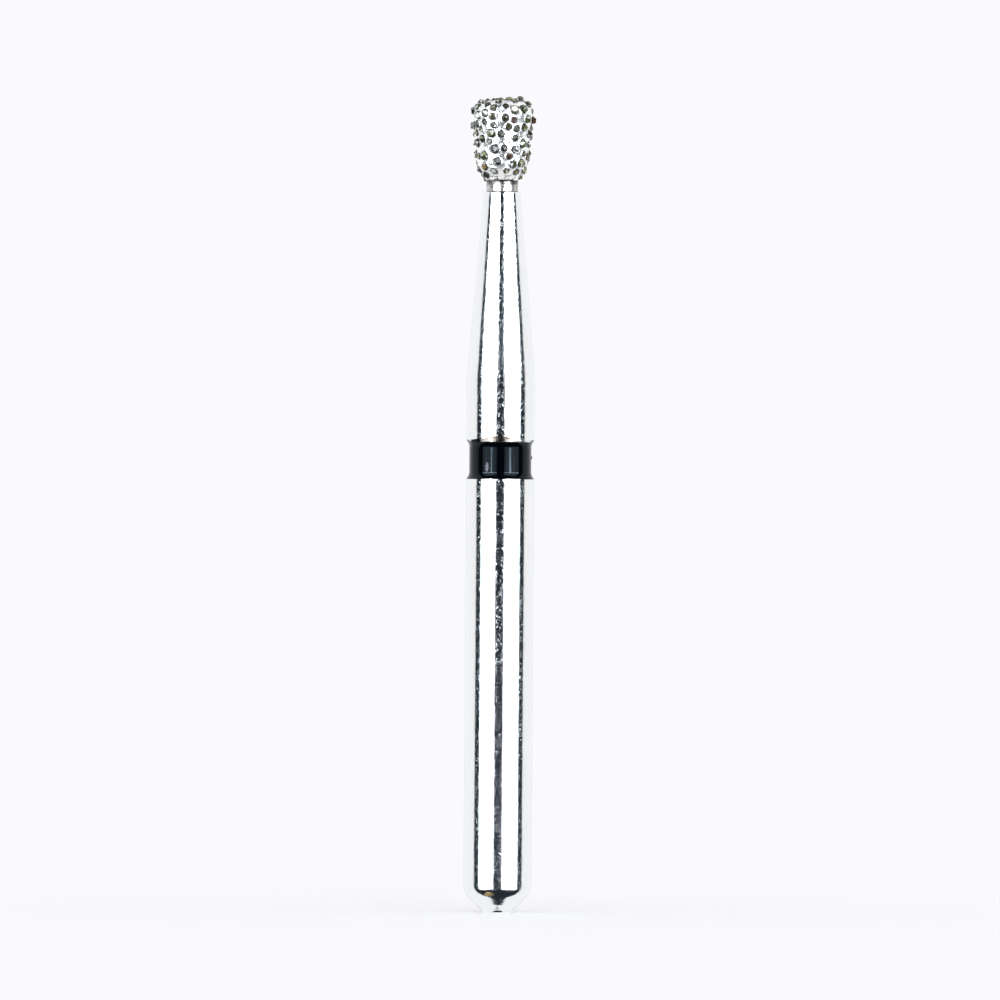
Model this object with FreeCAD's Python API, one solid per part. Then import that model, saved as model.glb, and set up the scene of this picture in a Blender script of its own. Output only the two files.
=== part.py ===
"""A friction-grip dental bur: one turned steel blank, a black colour band in its groove, and a grinding head
of diamond grains held in a plated metal bond. Millimetres, +Z along the axis towards the head, origin at the
centre of the shank's end face."""

import FreeCAD, Part
import math
import os
import random

# Shank, from its end face up to the colour band's groove
SHANK_DIAMETER = 1.60
SHANK_LENGTH = 10.28
END_FACE_DIAMETER = 0.64
END_CHAMFER_HEIGHT = 0.49
END_CORNER_ROUNDING = 0.42

# Groove for the colour band, and the plain land between it and the taper
GROOVE_WIDTH = 0.92
GROOVE_DEPTH = 0.18
LAND_LENGTH = 1.52

# Tapered neck, and the thin stub that carries the head
TAPER_LENGTH = 4.37
TAPER_BLEND_ROUNDING = 8.0
NECK_DIAMETER = 0.86
STUB_DIAMETER = 0.60
STUB_LENGTH = 0.27

# Colour band: black lacquer that fills the groove, flush at both edges and hollow between them
BAND_SINK = 0.070
BAND_FLARE = 0.17
BAND_FLARE_ROUNDING = 0.30
BAND_MIDDLE_HOLLOW = 0.008

# Grinding head, measured over the bond's surface and without the grains
HEAD_LENGTH = 1.89
HEAD_TOP_DIAMETER = 1.46
HEAD_TOP_ROUNDING = 0.30
BELLY_DIAMETER = 1.14
BELLY_HEIGHT = 0.30
BELLY_ROUNDING = 0.5
BOND_THICKNESS = 0.11
STUB_PLATING = 0.075

# Diamond grains: sizes are those of a sphere round each grain, and the floor is the bond left under it
GRAIN_SMALLEST_DIAMETER = 0.16
GRAIN_LARGEST_DIAMETER = 0.25
GRAIN_SPACING = 0.002
GRAIN_FLOOR = 0.012
GRAIN_TRIES = 12000
GRAIN_STRETCH = 0.14
GRAIN_SEED = 7
OCTAHEDRON_SHARE = 0.2

# Radii and levels that follow from the sizes above
shank_radius = SHANK_DIAMETER / 2
groove_radius = shank_radius - GROOVE_DEPTH
groove_top = SHANK_LENGTH + GROOVE_WIDTH
taper_start = groove_top + LAND_LENGTH
shoulder = taper_start + TAPER_LENGTH
head_start = shoulder + STUB_LENGTH
head_top = head_start + HEAD_LENGTH
plated_stub_radius = STUB_DIAMETER / 2 + STUB_PLATING


def line(start, end):
    """A straight edge in the XZ half plane, between two (radius, height) points."""
    ends = [FreeCAD.Vector(p[0], 0, p[1]) for p in (start, end)]
    return Part.LineSegment(*ends).toShape()


def arc(start, middle, end):
    """An arc in the XZ half plane through three (radius, height) points."""
    points = [FreeCAD.Vector(p[0], 0, p[1]) for p in (start, middle, end)]
    return Part.Arc(*points).toShape()


def rounding(before, corner, after, radius):
    """Start, middle and end of the tangent arc in a corner. The arc takes at most 0.48 of either side."""
    sides = [(p[0] - corner[0], p[1] - corner[1]) for p in (before, after)]
    lengths = [math.hypot(*side) for side in sides]
    (ux, uz), (vx, vz) = [(side[0] / length, side[1] / length) for side, length in zip(sides, lengths)]
    half = math.acos(max(-1.0, min(1.0, ux * vx + uz * vz))) / 2
    tangent = min(radius / math.tan(half), 0.48 * min(lengths))
    radius = tangent * math.tan(half)
    bisector = math.hypot(ux + vx, uz + vz)
    to_middle = (radius / math.sin(half) - radius) / bisector
    start = (corner[0] + ux * tangent, corner[1] + uz * tangent)
    middle = (corner[0] + (ux + vx) * to_middle, corner[1] + (uz + vz) * to_middle)
    end = (corner[0] + vx * tangent, corner[1] + vz * tangent)
    return start, middle, end


def outline(corners):
    """Edges through (radius, height, rounding) corners, left open at both ends."""
    edges = []
    here = corners[0][:2]
    for before, corner, after in zip(corners, corners[1:], corners[2:]):
        if corner[2] > 0:
            start, middle, end = rounding(before[:2], corner[:2], after[:2], corner[2])
            edges += [line(here, start), arc(start, middle, end)]
            here = end
        else:
            edges.append(line(here, corner[:2]))
            here = corner[:2]
    return edges + [line(here, corners[-1][:2])]


def turned(corners):
    """The solid turned about the axis by a closed outline, whose last side runs back to its first corner."""
    edges = outline(corners) + [line(corners[-1][:2], corners[0][:2])]
    face = Part.Face(Part.Wire(edges))
    return face.revolve(FreeCAD.Vector(0, 0, 0), FreeCAD.Vector(0, 0, 1), 360)


def crossing(a, b, c, d):
    """The point where the line through a and b crosses the line through c and d."""
    ux, uz = b[0] - a[0], b[1] - a[1]
    vx, vz = d[0] - c[0], d[1] - c[1]
    along = ((c[0] - a[0]) * vz - (c[1] - a[1]) * vx) / (ux * vz - uz * vx)
    return (a[0] + ux * along, a[1] + uz * along)


def moved_inwards(start, end, distance):
    """The line from start to end, moved towards the head's inside. The outline runs upwards and inwards."""
    dx, dz = end[0] - start[0], end[1] - start[1]
    length = math.hypot(dx, dz)
    shift = (-dz / length * distance, dx / length * distance)
    return [(p[0] + shift[0], p[1] + shift[1]) for p in (start, end)]


# Corners of the bond's surface: stub, belly, top edge, centre of the end face
bond_corners = [
    (plated_stub_radius, head_start),
    (BELLY_DIAMETER / 2, head_start + BELLY_HEIGHT),
    (HEAD_TOP_DIAMETER / 2, head_top),
    (0, head_top),
]


def core_corners():
    """Corners of the steel under the bond, one bond thickness inside its surface."""
    sides = zip(bond_corners, bond_corners[1:])
    lower, upper, face = [moved_inwards(start, end, BOND_THICKNESS) for start, end in sides]
    stub = [(STUB_DIAMETER / 2, shoulder), (STUB_DIAMETER / 2, head_top)]
    return [
        (*crossing(*stub, *lower), 0),
        (*crossing(*lower, *upper), BELLY_ROUNDING - BOND_THICKNESS),
        (*crossing(*upper, *face), HEAD_TOP_ROUNDING - BOND_THICKNESS),
        (0, face[0][1], 0),
    ]


def make_steel_blank():
    """Shank, groove, land, taper, stub and head core: one turned piece."""
    return turned([
        (0, 0, 0),
        (END_FACE_DIAMETER / 2, 0, 0),
        (shank_radius, END_CHAMFER_HEIGHT, END_CORNER_ROUNDING),
        (shank_radius, SHANK_LENGTH, 0),
        (groove_radius, SHANK_LENGTH, 0),
        (groove_radius, groove_top, 0),
        (shank_radius, groove_top, 0),
        (shank_radius, taper_start, TAPER_BLEND_ROUNDING),
        (NECK_DIAMETER / 2, shoulder, 0),
        (STUB_DIAMETER / 2, shoulder, 0),
        *core_corners(),
    ])


def make_colour_band():
    """Lacquer filling the groove: flush with the shank at its edges, hollow between them."""
    waist = shank_radius - BAND_SINK
    return turned([
        (groove_radius, SHANK_LENGTH, 0),
        (shank_radius, SHANK_LENGTH, 0),
        (waist, SHANK_LENGTH + BAND_FLARE, BAND_FLARE_ROUNDING),
        (waist - BAND_MIDDLE_HOLLOW, SHANK_LENGTH + GROOVE_WIDTH / 2, 0),
        (waist, groove_top - BAND_FLARE, BAND_FLARE_ROUNDING),
        (shank_radius, groove_top, 0),
        (groove_radius, groove_top, 0),
    ])


def bond_outline():
    """The bond's surface as rounded corners, from the plated stub up to the centre of the end face."""
    roundings = (0, BELLY_ROUNDING, HEAD_TOP_ROUNDING, 0)
    return [(*corner, radius) for corner, radius in zip(bond_corners, roundings)]


def make_bond(blank, grains):
    """The plated layer over stub and head, with a pocket round each grain."""
    envelope = turned([(0, shoulder, 0), (plated_stub_radius, shoulder, 0), *bond_outline()])
    return envelope.cut([blank, *grains])


def places_on_bond():
    """Radius, height and outward normal of evenly spaced places where the bond has its full thickness."""
    step = GRAIN_SMALLEST_DIAMETER / 10
    lowest = core_corners()[0][1]
    surface = Part.Wire(outline(bond_outline()))
    points = surface.discretize(Distance=step)
    places = []
    for before, point, after in zip(points, points[1:], points[2:]):
        along = (after - before).normalize()
        if point.z > lowest:
            places.append((point.x, point.z, along.z, -along.x))
    return places


def scatter_grains():
    """(centre, radius) of each grain, dropped at random on the head and kept where it clears the others."""
    places = places_on_bond()
    weights = [place[0] for place in places]
    chance = random.Random(GRAIN_SEED)
    kept = []
    for _ in range(GRAIN_TRIES):
        r, z, out_r, out_z = chance.choices(places, weights)[0]
        turn = chance.uniform(0, 2 * math.pi)
        size = chance.uniform(GRAIN_SMALLEST_DIAMETER, GRAIN_LARGEST_DIAMETER) / 2
        proud = size + GRAIN_FLOOR - BOND_THICKNESS
        r += out_r * proud
        z += out_z * proud
        centre = FreeCAD.Vector(r * math.cos(turn), r * math.sin(turn), z)
        if all((centre - other).Length > size + reach + GRAIN_SPACING for other, reach in kept):
            kept.append((centre, size))
    return kept


def polyhedron(points, faces):
    """A solid with flat faces, each a list of indices into points."""
    shells = [Part.Face(Part.makePolygon([points[i] for i in face + face[:1]])) for face in faces]
    solid = Part.Solid(Part.Shell(shells))
    if solid.Volume < 0:
        solid.reverse()
    return solid


def octahedron():
    """Corners and faces of an octahedron of unit reach: one face in each octant."""
    corners = [(1, 0, 0), (-1, 0, 0), (0, 1, 0), (0, -1, 0), (0, 0, 1), (0, 0, -1)]
    faces = [[i, j, k] for i in (0, 1) for j in (2, 3) for k in (4, 5)]
    return corners, faces


def cuboctahedron():
    """Corners and faces of a cube cut at the middle of its edges, of unit reach."""
    half = math.sqrt(0.5)
    corners = [c for a in (-half, half) for b in (-half, half) for c in ((a, b, 0), (a, 0, b), (0, a, b))]
    triangles = [[corners.index((a, b, 0)), corners.index((a, 0, c)), corners.index((0, b, c))]
                 for a in (-half, half) for b in (-half, half) for c in (-half, half)]
    squares = []
    for axis in range(3):
        for side in (-half, half):
            ring = [i for i, corner in enumerate(corners) if corner[axis] == side]
            others = [n for n in range(3) if n != axis]
            ring.sort(key=lambda i: math.atan2(corners[i][others[1]], corners[i][others[0]]))
            squares.append(ring)
    return corners, triangles + squares


def make_grain(centre, radius, chance):
    """One blocky crystal, stretched a little along each of its axes and turned at random."""
    shape = octahedron if chance.random() < OCTAHEDRON_SHARE else cuboctahedron
    corners, faces = shape()
    scale = [radius * (1 - chance.uniform(0, GRAIN_STRETCH)) for _ in range(3)]
    axis = FreeCAD.Vector(*[chance.gauss(0, 1) for _ in range(3)])
    turn = FreeCAD.Rotation(axis, chance.uniform(0, 360))
    stretched = [FreeCAD.Vector(*[c * s for c, s in zip(corner, scale)]) for corner in corners]
    return polyhedron([centre + turn.multVec(corner) for corner in stretched], faces)


def make_grains():
    """Every grain of the head as a solid of its own."""
    chance = random.Random(GRAIN_SEED + 1)
    return [make_grain(centre, radius, chance) for centre, radius in scatter_grains()]


def main():
    """Builds the four sub-parts and writes a STEP file for each."""
    blank = make_steel_blank()
    grains = make_grains()
    nodes = {
        "steel_blank": blank,
        "colour_band": make_colour_band(),
        "plated_bond": make_bond(blank, grains),
        "diamond_grains": Part.makeCompound(grains),
    }
    os.makedirs("parts", exist_ok=True)
    for name, shape in nodes.items():
        shape.exportStep(f"parts/{name}.step")
        print(name, len(shape.Solids), "solids", len(shape.Faces), "faces", round(shape.Volume, 4), "mm3")


main()
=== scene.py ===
"""A friction-grip dental bur, standing upright on a pale floor under soft studio light. Metres.

The steel blank is a profile turned about Z, and the lacquered band a ring with uneven edges. The plating on
the head is a turned surface that climbs each diamond grain, and the grains are the part's own crystals
with worn edges."""

import math

import bmesh
import bpy
import numpy as np
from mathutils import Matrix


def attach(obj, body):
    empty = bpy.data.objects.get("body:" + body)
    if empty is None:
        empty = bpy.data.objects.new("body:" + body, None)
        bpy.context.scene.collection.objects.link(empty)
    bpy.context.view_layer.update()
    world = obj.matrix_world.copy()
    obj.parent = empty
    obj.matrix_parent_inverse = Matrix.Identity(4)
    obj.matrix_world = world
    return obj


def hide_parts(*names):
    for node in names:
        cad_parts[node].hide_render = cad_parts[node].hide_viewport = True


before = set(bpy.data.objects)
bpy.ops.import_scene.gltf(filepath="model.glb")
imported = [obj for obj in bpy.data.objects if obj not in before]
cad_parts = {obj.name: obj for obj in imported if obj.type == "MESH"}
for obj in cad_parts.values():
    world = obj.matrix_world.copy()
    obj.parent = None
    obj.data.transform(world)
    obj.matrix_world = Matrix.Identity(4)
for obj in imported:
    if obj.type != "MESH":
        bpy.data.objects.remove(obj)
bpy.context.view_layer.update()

MM = 0.001

# Sizes of the bur in millimetres, as in the part
SHANK_RADIUS = 0.80
SHANK_TOP = 10.28
END_FACE_RADIUS = 0.32
CHAMFER_HEIGHT = 0.49
CORNER_ROUNDING = 0.42
GROOVE_TOP = 11.20
GROOVE_RADIUS = 0.62
BAND_SINK = 0.070
BAND_FLARE = 0.17
TAPER_START = 12.72
SHOULDER = 17.09
NECK_RADIUS = 0.43
STUB_RADIUS = 0.30
PLATED_STUB_RADIUS = 0.375
HEAD_START = 17.36
BELLY_TOP = 17.66
BELLY_RADIUS = 0.57
BELLY_ROUNDING = 0.5
HEAD_TOP = 19.25
HEAD_TOP_RADIUS = 0.73
HEAD_TOP_ROUNDING = 0.30
BOND = 0.11

# Columns round each turned surface
STEEL_SEGMENTS = 288
BAND_SEGMENTS = 480
HEAD_SEGMENTS = 400
FLOOR_SEGMENTS = 96

# Colour of the empty backdrop, which the floor fades into
BACKDROP = (0.955, 0.955, 0.985)


# Shapes

def fillet(before, corner, after, radius, steps=9):
    """Points on the tangent arc in a corner of a profile. Each end lies radius / tan(half the corner's
    angle) from the corner, and the arc's points turn evenly about its centre, on the corner's bisector."""
    before, corner, after = (np.array(p, float) for p in (before, corner, after))
    u = (before - corner) / np.linalg.norm(before - corner)
    v = (after - corner) / np.linalg.norm(after - corner)
    half = math.acos(np.clip(u @ v, -1, 1)) / 2
    centre = corner + (u + v) / np.linalg.norm(u + v) * radius / math.sin(half)
    start = corner + u * radius / math.tan(half) - centre
    end = corner + v * radius / math.tan(half) - centre
    sweep = math.atan2(start[0] * end[1] - start[1] * end[0], start @ end)
    turns = np.linspace(0, sweep, steps)
    cos, sin = np.cos(turns), np.sin(turns)
    return np.stack([centre[0] + start[0] * cos - start[1] * sin,
                     centre[1] + start[0] * sin + start[1] * cos], 1)


def rounded(corners, spacing):
    """A profile through (radius, height, rounding) corners, with no two points further apart than spacing."""
    points = [np.array([corners[0][:2]], float)]
    for before, corner, after in zip(corners, corners[1:], corners[2:]):
        if corner[2] > 0:
            points.append(fillet(before[:2], corner[:2], after[:2], corner[2]))
        else:
            points.append(np.array([corner[:2]], float))
    points.append(np.array([corners[-1][:2]], float))
    return evenly(np.concatenate(points), spacing, keep=True)


def evenly(points, spacing, keep=False):
    """Points along a polyline at even steps of its length. With keep, its own points stay, with even steps
    between each two."""
    lengths = np.concatenate([[0], np.cumsum(np.linalg.norm(np.diff(points, axis=0), axis=1))])
    if keep:
        runs = [np.linspace(a, b, max(2, math.ceil((b - a) / spacing) + 1))[:-1]
                for a, b in zip(lengths, lengths[1:])]
        along = np.concatenate(runs + [lengths[-1:]])
    else:
        along = np.linspace(0, lengths[-1], math.ceil(lengths[-1] / spacing) + 1)
    return np.stack([np.interp(along, lengths, points[:, i]) for i in range(2)], 1)


def make_piece(name, vertices, faces, material):
    """A smooth-shaded mesh object at the origin, from vertices in millimetres."""
    mesh = bpy.data.meshes.new(name)
    mesh.from_pydata((vertices * MM).tolist(), [], faces)
    mesh.polygons.foreach_set("use_smooth", np.ones(len(mesh.polygons), bool))
    mesh.materials.append(material)
    mesh.update()
    piece = bpy.data.objects.new(name, mesh)
    bpy.context.scene.collection.objects.link(piece)
    return piece


def grid_faces(rows, columns):
    """Quads of a grid that is closed round its columns. Row i + 1 lies above row i, seen from outside."""
    i, j = np.meshgrid(np.arange(rows - 1), np.arange(columns), indexing="ij")
    a, b = i * columns + j, i * columns + (j + 1) % columns
    return np.stack([a, b, b + columns, a + columns], -1).reshape(-1, 4).tolist()


def turned(radii, heights, angles):
    """Vertices of a turned surface: (r cos t, r sin t, z) on a grid of heights by angles."""
    radii, heights, angles = np.broadcast_arrays(radii, heights, angles)
    return np.stack([radii * np.cos(angles), radii * np.sin(angles), heights], -1)


def capped(grid, bottom, top):
    """Vertices and faces of a closed surface: a grid of rows, with a fan to a pole below and one above."""
    rows, columns = grid.shape[:2]
    vertices = np.concatenate([grid.reshape(-1, 3), [bottom, top]])
    ring = np.arange(columns)
    following = (ring + 1) % columns
    low, high = rows * columns, rows * columns + 1
    last = (rows - 1) * columns
    fans = [*np.stack([following, ring, np.full(columns, low)], 1).tolist(),
            *np.stack([last + ring, last + following, np.full(columns, high)], 1).tolist()]
    return vertices, grid_faces(rows, columns) + fans


def around(columns):
    """Evenly spaced angles, from 0 and short of a full turn."""
    return np.arange(columns) / columns * 2 * math.pi


def steel_blank(material):
    """Shank, groove, land, taper, shoulder and core: a profile with every edge broken, turned about Z."""
    corners = [
        (0.02, 0, 0), (END_FACE_RADIUS, 0, 0.015), (0.3702, 0.06, 0.25), (0.469, 0.13, 0.8),
        (SHANK_RADIUS, CHAMFER_HEIGHT, CORNER_ROUNDING), (SHANK_RADIUS, SHANK_TOP, 0.012),
        (GROOVE_RADIUS, SHANK_TOP, 0.02), (GROOVE_RADIUS, GROOVE_TOP, 0.02),
        (SHANK_RADIUS, GROOVE_TOP, 0.012), (SHANK_RADIUS, TAPER_START, 5.0),
        (NECK_RADIUS, SHOULDER, 0.025), (STUB_RADIUS, SHOULDER, 0.01),
        (STUB_RADIUS, HEAD_START + 0.1, 0.01), (BELLY_RADIUS - BOND, BELLY_TOP + 0.05, 0.1),
        (HEAD_TOP_RADIUS - BOND, HEAD_TOP - BOND, HEAD_TOP_ROUNDING - BOND), (0.02, HEAD_TOP - BOND, 0),
    ]
    profile = rounded(corners, spacing=0.12)
    grid = turned(profile[:, :1], profile[:, 1:], around(STEEL_SEGMENTS)[None])
    vertices, faces = capped(grid, (0, 0, 0), (0, 0, HEAD_TOP - BOND))
    return make_piece("steel_blank_turned", vertices, faces, material)


def waves(angles, seed, counts, falls):
    """A smooth closed random line round the bur: a sum of sines of whole counts, each weaker by
    count ** falls."""
    chance = np.random.default_rng(seed)
    counts = np.array(counts)
    phases = chance.uniform(0, 2 * math.pi, len(counts))
    weights = chance.uniform(0.5, 1, len(counts)) / counts ** falls
    return (weights[:, None] * np.sin(counts[:, None] * angles + phases[:, None])).sum(0) / weights.sum()


def smooth_step(x):
    """0 below 0, 1 above 1 and 3x^2 - 2x^3 between."""
    x = np.clip(x, 0, 1)
    return x * x * (3 - 2 * x)


def colour_band(material):
    """Lacquer in the groove, 0.07 mm under the steel and flared to its edges: each flare is a parabola, sink
    times the square of how near the edge is. Over the front half the upper flare sits lower. There the
    lacquer also ran onto the steel, by a bell curve of the angle that is wider to the left. Its edges are
    uneven, and a speck stands out at the right."""
    rows = 110
    run_height, run_left, run_right = 0.135, 0.60, 0.38
    unevenness, film_height, flare_drop, speck_height = 0.010, 0.007, 0.045, 0.022
    angles = around(BAND_SEGMENTS)
    front = np.mod(angles + math.pi / 2 + math.pi, 2 * math.pi) - math.pi
    run = run_height * np.exp(-(front / np.where(front < 0, run_left, run_right)) ** 2)
    upper = GROOVE_TOP + 0.004 + run + unevenness * waves(angles, 3, [5, 8, 13, 21, 34, 55], 0.5)
    lower = SHANK_TOP - 0.007 + unevenness * waves(angles, 4, [4, 7, 12, 19, 31, 50, 81], 0.4)
    flare_top = GROOVE_TOP - flare_drop * smooth_step((1.42 - np.abs(front)) / 0.40)
    heights = lower + (upper - lower) * np.linspace(0, 1, rows)[:, None]
    edge = np.clip(np.minimum(heights - SHANK_TOP, flare_top - heights), 0, BAND_FLARE) / BAND_FLARE
    sink = BAND_SINK * (1 - (1 - edge) ** 2)
    film = film_height * np.sqrt(np.clip(np.minimum(heights - lower, upper - heights) / 0.03, 0, 1)) - 0.001
    away = ((angles - 0.02) * 0.78 / 0.035) ** 2 + ((heights - 10.79) / 0.04) ** 2
    outside = turned(SHANK_RADIUS + film - sink + speck_height * np.exp(-away), heights, angles[None])
    bottoms = np.array([[GROOVE_TOP - 0.03], [SHANK_TOP + 0.03]])
    inside = turned(GROOVE_RADIUS + 0.03, bottoms, angles[None])
    grid = np.concatenate([outside, inside])
    last = (len(grid) - 1) * BAND_SEGMENTS
    closing = [[last + q if q < BAND_SEGMENTS else q - BAND_SEGMENTS for q in face]
               for face in grid_faces(2, BAND_SEGMENTS)]
    faces = grid_faces(len(grid), BAND_SEGMENTS) + closing
    return make_piece("colour_band_lacquer", grid.reshape(-1, 3), faces, material)


def crystals(node):
    """The part's loose crystals, from a merged copy of the node's mesh: the copy, each corner's crystal, and
    each crystal's centre and reach. Corners joined by edges take the least number among them until none
    changes."""
    work = bmesh.new()
    work.from_mesh(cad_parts[node].data)
    bmesh.ops.remove_doubles(work, verts=work.verts, dist=0.0005 * MM)
    work.verts.index_update()
    places = np.array([v.co[:] for v in work.verts]) / MM
    edges = np.array([[v.index for v in e.verts] for e in work.edges])
    label, before = np.arange(len(places)), None
    while before is None or (label != before).any():
        before = label.copy()
        np.minimum.at(label, edges[:, 0], before[edges[:, 1]])
        np.minimum.at(label, edges[:, 1], before[edges[:, 0]])
    crystal = np.unique(label, return_inverse=True)[1]
    count = np.bincount(crystal)
    centres = np.stack([np.bincount(crystal, places[:, i]) / count for i in range(3)], 1)
    reaches = np.zeros(len(count))
    np.maximum.at(reaches, crystal, np.linalg.norm(places - centres[crystal], axis=1))
    return work, crystal, centres, reaches


def once(elements):
    """The elements in their order, each once."""
    return list(dict.fromkeys(elements))


def diamond_grains(material, work, crystal, centres, reaches):
    """The crystals, each with a few corners chipped off by random planes and every edge worn. Each crystal
    has a tone of its own, and each facet a random value for its painted light, shade and glint. "core" rises
    from 0 at a facet's rim to 1 at its middle, where the painted shade along the rim fades."""
    chance = np.random.default_rng(11)
    flat = [e for e in work.edges if len(e.link_faces) == 2 and e.calc_face_angle(0) < 0.01]
    bmesh.ops.dissolve_edges(work, edges=flat, use_verts=False)
    tone = work.faces.layers.float.new("tone")
    facet = work.faces.layers.float.new("facet")
    core = work.verts.layers.float.new("core")
    members = [[] for _ in centres]
    for vertex, owner in zip(list(work.verts), crystal):
        members[owner].append(vertex)
    for own, centre, reach in zip(members, centres, reaches):
        shade = chance.uniform()
        for _ in range(chance.integers(2, 5)):
            own = [v for v in own if v.is_valid]
            away = chance.normal(size=3)
            away /= np.linalg.norm(away)
            spot = (centre + away * reach * chance.uniform(0.66, 0.84)) * MM
            faces = once(f for v in own for f in v.link_faces)
            edges = once(e for v in own for e in v.link_edges)
            cut = bmesh.ops.bisect_plane(work, geom=[*own, *edges, *faces], plane_co=spot, plane_no=away,
                                         clear_outer=True, dist=1e-9)["geom_cut"]
            rim = [e for e in cut if isinstance(e, bmesh.types.BMEdge)]
            if len(rim) > 2:
                bmesh.ops.edgeloop_fill(work, edges=rim)
                own += [v for v in cut if isinstance(v, bmesh.types.BMVert)]
        for face in once(f for v in own if v.is_valid for f in v.link_faces):
            face[tone] = shade
            face[facet] = chance.uniform()
    bmesh.ops.recalc_face_normals(work, faces=work.faces)
    for vertex in bmesh.ops.poke(work, faces=work.faces)["verts"]:
        vertex[core] = 1.0
    mesh = bpy.data.meshes.new("diamond_grain_crystals")
    work.to_mesh(mesh)
    mesh.materials.append(material)
    piece = bpy.data.objects.new("diamond_grain_crystals", mesh)
    bpy.context.scene.collection.objects.link(piece)
    bevel = piece.modifiers.new("worn edges", "BEVEL")
    bevel.width = 0.006 * MM
    bevel.segments = 1
    bevel.limit_method = "ANGLE"
    bevel.angle_limit = math.radians(12)
    return piece


def plating(material, centres, reaches):
    """The bond: a turned profile over stub and head that climbs each grain by a collar, which falls off with
    exp(-distance / collar_fade) from the grain's foot, plus small nodules. Its point attribute is 1 in the
    fine line of painted shade round each grain."""
    collar_height, collar_fade, nodules = 0.030, 0.022, 260
    profile = rounded([
        (STUB_RADIUS + 0.03, SHOULDER + 0.002, 0), (PLATED_STUB_RADIUS, SHOULDER + 0.002, 0.008),
        (PLATED_STUB_RADIUS, HEAD_START, 0.03), (BELLY_RADIUS, BELLY_TOP, BELLY_ROUNDING),
        (HEAD_TOP_RADIUS, HEAD_TOP, HEAD_TOP_ROUNDING), (0.012, HEAD_TOP, 0),
    ], spacing=0.01)
    profile = evenly(profile, spacing=0.0115)
    run = np.gradient(profile, axis=0)
    run /= np.linalg.norm(run, axis=1, keepdims=True)
    angles = around(HEAD_SEGMENTS)
    grid = turned(profile[:, :1], profile[:, 1:], angles[None])
    outward = turned(run[:, 1:], -run[:, :1], angles[None])
    lift = np.zeros(grid.shape[:2])
    gap = np.zeros(grid.shape[:2])
    for centre, reach in zip(centres, reaches):
        near = np.linalg.norm(grid - centre, axis=-1)
        lift = np.maximum(lift, collar_height * np.exp(-np.clip(near - 0.80 * reach, 0, None) / collar_fade))
        # Painted shade: the fine dark line round each grain's foot, where it meets the plating
        gap = np.maximum(gap, smooth_step((0.96 * reach + 0.016 - near) / 0.02))
    chance = np.random.default_rng(5)
    for _ in range(nodules):
        turn, height = chance.uniform(0, 2 * math.pi), chance.uniform(HEAD_START + 0.05, HEAD_TOP + 0.02)
        row = np.abs(profile[:, 1] - height).argmin()
        spot = turned(profile[row, 0], profile[row, 1], turn)
        size = chance.uniform(0.012, 0.03)
        lift += 0.4 * size * np.exp(-(np.linalg.norm(grid - spot, axis=-1) / size) ** 2)
    lift *= smooth_step((grid[..., 2] - HEAD_START + 0.06) / 0.12)
    grid = grid + outward * lift[..., None]
    vertices, faces = capped(grid, (0, 0, SHOULDER + 0.002), (0, 0, HEAD_TOP))
    piece = make_piece("plated_bond_surface", vertices, faces, material)
    gap = np.concatenate([gap.ravel(), [0, 0]])
    piece.data.attributes.new("gap", "FLOAT", "POINT").data.foreach_set("value", gap)
    return piece


# Materials

class Value:
    """A number that varies over the surface: a socket whose operators add Math nodes."""

    def __init__(self, paint, socket):
        self.paint = paint
        self.socket = socket

    def maths(self, operation, *others):
        return self.paint.maths(operation, self, *others)

    def __add__(self, other):
        return self.maths("ADD", other)

    def __sub__(self, other):
        return self.maths("SUBTRACT", other)

    def __rsub__(self, other):
        return self.paint.maths("SUBTRACT", other, self)

    def __mul__(self, other):
        return self.maths("MULTIPLY", other)

    def __truediv__(self, other):
        return self.maths("DIVIDE", other)

    def squared(self):
        return self * self

    def over(self, low, high):
        """0 at low and below, 1 at high and above, smooth between."""
        return Value(self.paint, self.paint.node("ShaderNodeMapRange", {"interpolation_type": "SMOOTHSTEP"},
                                                 {"Value": self, "From Min": low, "From Max": high}))

    def under(self, low, high):
        """1 at low and below, 0 at high and above, smooth between."""
        return 1.0 - self.over(low, high)


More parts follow.
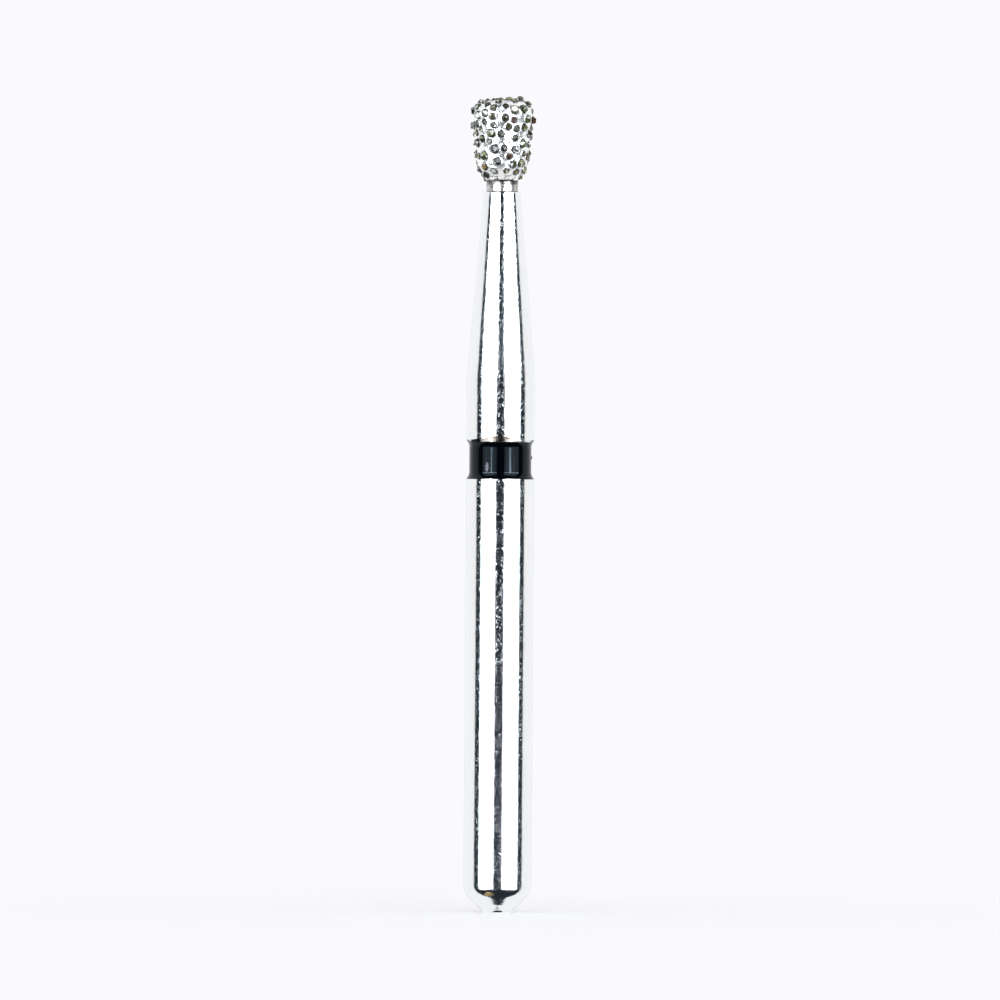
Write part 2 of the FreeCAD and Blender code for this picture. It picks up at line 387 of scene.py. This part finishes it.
class Paint:
    """The nodes of one material or world."""

    def __init__(self, owner):
        owner.use_nodes = True
        self.tree = owner.node_tree
        self.tree.nodes.clear()

    def node(self, kind, settings=None, sockets=None, out=0):
        """Adds a node, makes its settings first, then sets or links its sockets. Gives the chosen output."""
        made = self.tree.nodes.new(kind)
        for name, value in (settings or {}).items():
            if name == "stops":
                while len(made.color_ramp.elements) < len(value):
                    made.color_ramp.elements.new(0.5)
                for element, (place, colour) in zip(made.color_ramp.elements, value):
                    element.position = place
                    element.color = (*colour, 1)
            else:
                setattr(made, name, value)
        for name, value in (sockets or {}).items():
            value = value.socket if isinstance(value, Value) else value
            if isinstance(value, bpy.types.NodeSocket):
                self.tree.links.new(value, made.inputs[name])
            else:
                made.inputs[name].default_value = value
        return made.outputs[out]

    def maths(self, operation, *terms):
        return Value(self, self.node("ShaderNodeMath", {"operation": operation}, dict(enumerate(terms))))

    def place(self):
        """Object coordinates, which are metres in the bur's own frame."""
        return self.node("ShaderNodeTexCoord", out="Object")

    def millimetres(self, place):
        """The three object coordinates in millimetres. The camera looks from -Y, so X is to the right."""
        return [self.axis(place, name) / MM for name in "XYZ"]

    def scaled(self, vector, scale):
        return self.node("ShaderNodeMapping", {}, {"Vector": vector, "Scale": scale})

    def slanted(self, vector, rotation, size):
        """Coordinates that are turned and then divided by size, so a pattern on them is long one way."""
        return self.node("ShaderNodeMapping", {"vector_type": "TEXTURE"},
                         {"Vector": vector, "Rotation": rotation, "Scale": size})

    def noise(self, vector, scale, detail=3.0, rough=0.5):
        sockets = {"Vector": vector, "Scale": scale, "Detail": detail, "Roughness": rough}
        return Value(self, self.node("ShaderNodeTexNoise", {}, sockets, "Fac"))

    def axis(self, vector, name):
        return Value(self, self.node("ShaderNodeSeparateXYZ", {}, {"Vector": vector}, name))

    def attribute(self, name):
        return Value(self, self.node("ShaderNodeAttribute", {"attribute_name": name}, {}, "Fac"))

    def ramp(self, value, stops):
        return self.node("ShaderNodeValToRGB", {"stops": stops}, {"Fac": value}, "Color")

    def mix(self, factor, first, second):
        """The first colour where factor is 0, the second where it is 1."""
        colours = {key: (*c, 1) if isinstance(c, tuple) else c for key, c in ((6, first), (7, second))}
        return self.node("ShaderNodeMix", {"data_type": "RGBA"}, {0: factor, **colours}, 2)

    def bump(self, height, distance):
        sockets = {"Height": height, "Distance": distance, "Strength": 1.0}
        return self.node("ShaderNodeBump", {}, sockets, "Normal")

    def principled(self, **sockets):
        """A Principled shader. Underscores stand for the spaces in its sockets' names."""
        named = {key.replace("_", " "): value for key, value in sockets.items()}
        return self.node("ShaderNodeBsdfPrincipled", {}, named)

    def surface(self, **sockets):
        """A Principled shader as this material's surface."""
        self.output("ShaderNodeOutputMaterial", self.principled(**sockets))

    def output(self, kind, shader):
        self.tree.links.new(shader, self.tree.nodes.new(kind).inputs["Surface"])


def ground_steel():
    """Bright ground stainless steel: short fine scratches that slant both ways, and small pits that scatter
    the reflections. Both are fainter on the chamfer. One spot of the end's corner, whose middle and half
    sizes are given, has a straw-coloured heat tint."""
    material = bpy.data.materials.new("ground_steel")
    paint = Paint(material)
    place = paint.place()
    x, y, z = paint.millimetres(place)
    scratch = (0.10 * MM, 0.10 * MM, 0.030 * MM)
    spot_x, spot_z, spot_half_width, spot_half_height = -0.19, 0.445, 0.125, 0.055
    rising = paint.noise(paint.slanted(place, (0.0, 0.85, 0.2), scratch), 1.0, 2.0).over(0.59, 0.69)
    falling = paint.noise(paint.slanted(place, (0.3, -0.95, 0.0), scratch), 1.0, 2.0).over(0.59, 0.69)
    pits = paint.noise(place, 24000, 2.0, 0.6)
    fine = paint.noise(place, 42000, 2.0, 0.6)
    broad = paint.noise(paint.scaled(place, (1, 1, 0.4)), 1500, 3.0)
    quiet = z.over(0.30, 0.62) * 0.75 + 0.25
    marks = (rising + falling + pits.over(0.60, 0.70)).maths("MINIMUM", 1.0) * quiet
    spot = ((x - spot_x) / spot_half_width).squared() + ((z - spot_z) / spot_half_height).squared()
    tint = (spot + (fine - 0.5) * 3.0).under(0.4, 1.5) * y.under(-0.3, -0.1)
    grey = paint.mix(broad, (0.80, 0.80, 0.80), (0.86, 0.86, 0.86))
    gold = paint.mix(pits.over(0.4, 0.6), (0.92, 0.56, 0.19), (0.95, 0.76, 0.46))
    paint.surface(Base_Color=paint.mix(tint, grey, gold), Metallic=1.0,
                  Roughness=marks * 0.14 + tint * 0.40 + 0.04,
                  Normal=paint.bump(marks + pits * 0.5, 0.0006 * MM))
    return material


def nickel():
    """Bright nickel plate, with a fine line of painted shade round each grain, and whiter on the cone under
    the belly, with painted shade in lines between its nodules. The stub is satin, with painted shade in a
    dark line where it meets head and shoulder, and a darker speckled band under the head."""
    material = bpy.data.materials.new("nickel_plate")
    paint = Paint(material)
    place = paint.place()
    z = paint.millimetres(place)[2]
    fine = paint.noise(place, 22000, 3.0, 0.6)
    patches = paint.noise(place, 5200, 2.0)
    uneven = (patches - 0.5) * 0.05
    stub = (z + uneven).under(HEAD_START - 0.01, HEAD_START + 0.03)
    # Painted shade: a dark line under the head's overhang, where the stub meets the head
    seam = (z + uneven).over(HEAD_START - 0.035, HEAD_START - 0.015) * 0.85
    # A darker speckled band under the head
    dark_speckles = (z + uneven * 2.0).over(HEAD_START - 0.14, HEAD_START - 0.06) * fine.over(0.35, 0.55) * 0.9
    # Painted shade: a dark line where the stub meets the shoulder
    foot = (z + uneven * 0.3).under(SHOULDER + 0.012, SHOULDER + 0.028)
    # Painted shade in the fine line round each grain, in patches
    gap = paint.attribute("gap") * (patches + fine * 0.5).over(0.48, 0.68)
    cone = (z + uneven * 2.0).under(BELLY_TOP - 0.10, BELLY_TOP + 0.08) * (1.0 - stub)
    # Painted shade: dark lines between the plating's nodules on the cone
    nodule_shade_lines = (patches + fine * 0.25 - 0.63).maths("ABSOLUTE").under(0.008, 0.040)
    bright = paint.mix(patches, (0.90, 0.90, 0.88), (0.97, 0.97, 0.96))
    satin = paint.mix((fine * 0.6 + patches * 0.4).over(0.35, 0.65), (0.36, 0.34, 0.31), (0.62, 0.61, 0.59))
    # Painted shade at the stub's two joints, together with the darker speckled band under the head
    stub_darkening = (seam + dark_speckles).maths("MINIMUM", 1.0) * stub + foot * 0.7
    dark = (gap + stub_darkening + nodule_shade_lines * cone).maths("MINIMUM", 1.0)
    colour = paint.mix(dark, paint.mix(stub, bright, satin), (0.035, 0.032, 0.026))
    paint.surface(Base_Color=colour, Metallic=stub * 0.2 - cone * 0.75 + 0.8,
                  Roughness=fine * 0.14 + stub * 0.06 + gap * 0.2 + 0.14,
                  Normal=paint.bump(fine + nodule_shade_lines * cone * 0.5, 0.003 * MM))
    return material


def diamond():
    """Coarse synthetic diamond: black, olive, pale, gold and red-brown crystals. Each facet has painted light
    and shade of its own, and painted shade along its rim, as where light is trapped in the crystal. A few
    facets have a painted glint."""
    material = bpy.data.materials.new("diamond_grit")
    paint = Paint(material)
    facet = paint.attribute("facet")
    core = paint.attribute("core")
    inside = paint.noise(paint.place(), 15000, 3.0, 0.6)
    body = paint.ramp(paint.attribute("tone"), [
        (0.0, (0.012, 0.014, 0.010)), (0.15, (0.05, 0.055, 0.022)), (0.32, (0.14, 0.15, 0.035)),
        (0.50, (0.26, 0.27, 0.065)), (0.64, (0.38, 0.40, 0.13)), (0.75, (0.55, 0.57, 0.27)),
        (0.82, (0.52, 0.35, 0.10)), (0.89, (0.19, 0.055, 0.028)), (1.0, (0.08, 0.055, 0.03))])
    # Painted light and shade: each facet lighter or darker at random
    light = (facet * 0.9 + inside * 0.8 - 0.25).maths("MINIMUM", 1.0).maths("MAXIMUM", 0.0)
    # Painted shade along each facet's rim
    rim = (core + (inside - 0.5) * 0.35).over(0.08, 0.34)
    colour = paint.mix(light * rim, (0.009, 0.010, 0.007), body)
    # Painted glint: a few facets turn pale, as a painted highlight
    glint = facet.over(0.86, 0.92) * inside.over(0.42, 0.56) * rim
    colour = paint.mix(glint, colour, (0.80, 0.82, 0.66))
    paint.surface(Base_Color=colour, Roughness=inside * 0.2 + 0.06, IOR=1.9)
    return material


def black_lacquer():
    """Glossy black lacquer. Where it ran onto the steel at the front it is a thin film that lets the steel
    shine, tan with brown stains in the middle and clear towards the sides, but for a thick black patch at
    the left. A smear of pale dust, whose middle and half sizes are given, lies on the black."""
    material = bpy.data.materials.new("black_lacquer")
    paint = Paint(material)
    place = paint.place()
    x, y, z = paint.millimetres(place)
    smear_x, smear_z, smear_half_width, smear_half_height = -0.32, 10.56, 0.045, 0.11
    streaks = paint.noise(paint.scaled(place, (1, 1, 0.05)), 13000, 2.0)
    dust = paint.noise(place, 30000, 2.0)
    edge = paint.noise(place, 9000, 3.0)
    spots = paint.noise(place, 14000, 3.0, 0.6)
    side = x.maths("ABSOLUTE")
    front = y.under(-0.3, -0.1)
    ragged = x + (edge - 0.5) * 0.10
    thick = ragged.over(-0.73, -0.68) * ragged.under(-0.50, -0.45)
    height = z + side.under(0.68, 0.78) * 0.045 + (edge - 0.5) * 0.02
    thin = height.over(GROOVE_TOP - 0.006, GROOVE_TOP + 0.006) * (1.0 - thick) * front
    dark_speckles = spots.over(0.50, 0.64) * (1.0 - side.over(0.10, 0.40) * 0.65)
    tan = paint.mix(dark_speckles, (0.24, 0.21, 0.178), (0.06, 0.042, 0.024))
    film = paint.mix(ragged.maths("ABSOLUTE").over(0.44, 0.52), tan, (0.80, 0.80, 0.80))
    smear = ((x - smear_x) / smear_half_width + (edge - 0.5) * 1.5).squared()
    smear = (smear + ((z - smear_z) / smear_half_height).squared()).under(0.1, 1.6) * front
    smear = smear * (streaks * 0.6 + spots * 0.4).over(0.38, 0.58)
    black = paint.mix(smear, (0.001, 0.002, 0.003), (0.40, 0.41, 0.48))
    paint.surface(Base_Color=paint.mix(thin, black, film), Metallic=thin,
                  Roughness=dust * 0.06 + 0.015 + thin * 0.14, IOR=1.24,
                  Specular_Tint=(0.70, 0.87, 1.0, 1.0), Normal=paint.bump(streaks, 0.0022 * MM))
    return material


# Studio

def studio_world():
    """White all round, for the camera and for diffuse light. Mirror-like rays see the studio: on each side a
    tall soft cloth with bright folds, with a bright tube across it and a bright strip down it, dark between
    and beyond them, and a pale table behind. The cloth and the dark beyond it reach a little further round
    on the right. Angles are in degrees, round from the camera's side, up from level, or off the camera."""
    world = bpy.data.worlds.new("studio")
    bpy.context.scene.world = world
    paint = Paint(world)
    degrees = 180 / math.pi
    strip_turn, strip_shift, strip_width, further_right = 35.5, 2.5, 2.0, 3.5
    direction = paint.node("ShaderNodeTexCoord", out="Generated")
    x, y, z = (paint.axis(direction, name) for name in "XYZ")
    azimuth = x.maths("ARCTAN2", y * -1.0) * degrees
    turn = azimuth.maths("ABSOLUTE")
    rise = z.maths("ARCSINE") * degrees
    from_camera = (y * -1.0).maths("ARCCOSINE") * degrees
    further = x.over(-0.5, 0.5) * further_right
    across = turn.over(13, 16) * (turn - further).under(67, 70)
    soft = across * rise.over(-30, -22) * rise.under(42, 50)
    strip = ((turn - x.maths("SIGN") * strip_shift - strip_turn) / strip_width).squared()
    strip = (strip * -1.0).maths("EXPONENT") * rise.maths("ABSOLUTE").under(16, 20)
    folds = paint.noise(paint.node("ShaderNodeCombineXYZ", {}, {"X": azimuth * 0.25}), 1.0, 2.0)
    folds = folds.over(0.40, 0.66)
    tube = across * rise.over(8, 10) * rise.under(14, 17) * (folds * 0.7 + 0.3)
    cloth = paint.mix(turn.over(18, 46), (1.90, 1.88, 2.10), (1.85, 2.10, 2.25))
    cloth = paint.mix(folds * turn.under(52, 60) * turn.over(18, 22), cloth, (4.6, 5.0, 5.5))
    studio = paint.mix(soft, (0.022, 0.029, 0.036), cloth)
    lamps = paint.mix((strip * 0.8 + tube).maths("MINIMUM", 1.0), (0.0, 0.0, 0.0), (38.0, 42.0, 46.0))
    studio = paint.node("ShaderNodeVectorMath", {"operation": "ADD"}, {0: studio, 1: lamps})
    table = (from_camera - further).over(86.5, 90.5) * (1.0 - turn.over(163, 169) * 0.45)
    studio = paint.mix(table, studio, (1.04, 1.06, 1.08))
    mirrored = paint.node("ShaderNodeLightPath", out="Is Glossy Ray")
    seen = paint.mix(mirrored, BACKDROP, studio)
    light = paint.node("ShaderNodeBackground", {}, {"Color": seen, "Strength": 1.0})
    paint.output("ShaderNodeOutputWorld", light)


def pale_floor():
    """A round pale floor, 5 m across, which takes the bur's shadow and fades into the backdrop from 2 to
    18 mm away. Reflections don't show it."""
    radius = 2500.0
    rim = turned(radius, 0.0, around(FLOOR_SEGMENTS))
    vertices = np.concatenate([rim, [(0, 0, 0)]])
    ring = np.arange(FLOOR_SEGMENTS)
    middle = np.full(FLOOR_SEGMENTS, FLOOR_SEGMENTS)
    faces = np.stack([ring, (ring + 1) % FLOOR_SEGMENTS, middle], 1).tolist()
    material = bpy.data.materials.new("pale_floor")
    paint = Paint(material)
    place = paint.place()
    colour = paint.mix(paint.noise(place, 40.0, 2.0), (0.975, 0.975, 0.98), (0.985, 0.985, 0.99))
    paper = paint.principled(Base_Color=colour, Roughness=0.9, Specular_IOR_Level=0.0)
    plain = paint.node("ShaderNodeEmission", {}, {"Color": (*BACKDROP, 1), "Strength": 1.0})
    distance = paint.node("ShaderNodeVectorMath", {"operation": "LENGTH"}, {0: place}, "Value")
    away = (Value(paint, distance) / MM).over(2, 18)
    fading = paint.node("ShaderNodeMixShader", {}, {0: away, 1: paper, 2: plain})
    paint.output("ShaderNodeOutputMaterial", fading)
    floor = make_piece("floor", vertices, faces, material)
    floor.visible_glossy = False


def photograph_camera():
    """A long lens level with the middle of the bur, square to its axis and turned about its own line of sight
    by a lean in degrees. The field is how much it sees across, at the bur."""
    distance, height, field, lean = 0.25, 9.78 * MM, 23.74 * MM, 0.41
    data = bpy.data.cameras.new("camera")
    data.sensor_width = 36
    data.lens = data.sensor_width * distance / field
    data.clip_start = 0.01
    data.clip_end = 5
    camera = bpy.data.objects.new("camera", data)
    camera.location = (0.0, -distance, height)
    camera.rotation_euler = (math.pi / 2, math.radians(-lean), 0)
    bpy.context.scene.collection.objects.link(camera)
    bpy.context.scene.camera = camera


def main():
    """Makes the pieces, each in place of its node of the part."""
    photograph_camera()
    studio_world()
    pale_floor()
    work, crystal, centres, reaches = crystals("diamond_grains")
    pieces = [
        (steel_blank(ground_steel()), "steel_blank", "steel"),
        (colour_band(black_lacquer()), "colour_band", "lacquer"),
        (plating(nickel(), centres, reaches), "plated_bond", "bond"),
        (diamond_grains(diamond(), work, crystal, centres, reaches), "diamond_grains", "grains"),
    ]
    for piece, node, slot in pieces:
        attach(piece, "root")
        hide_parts(node)
    bpy.context.scene.view_settings.view_transform = "Standard"


main()
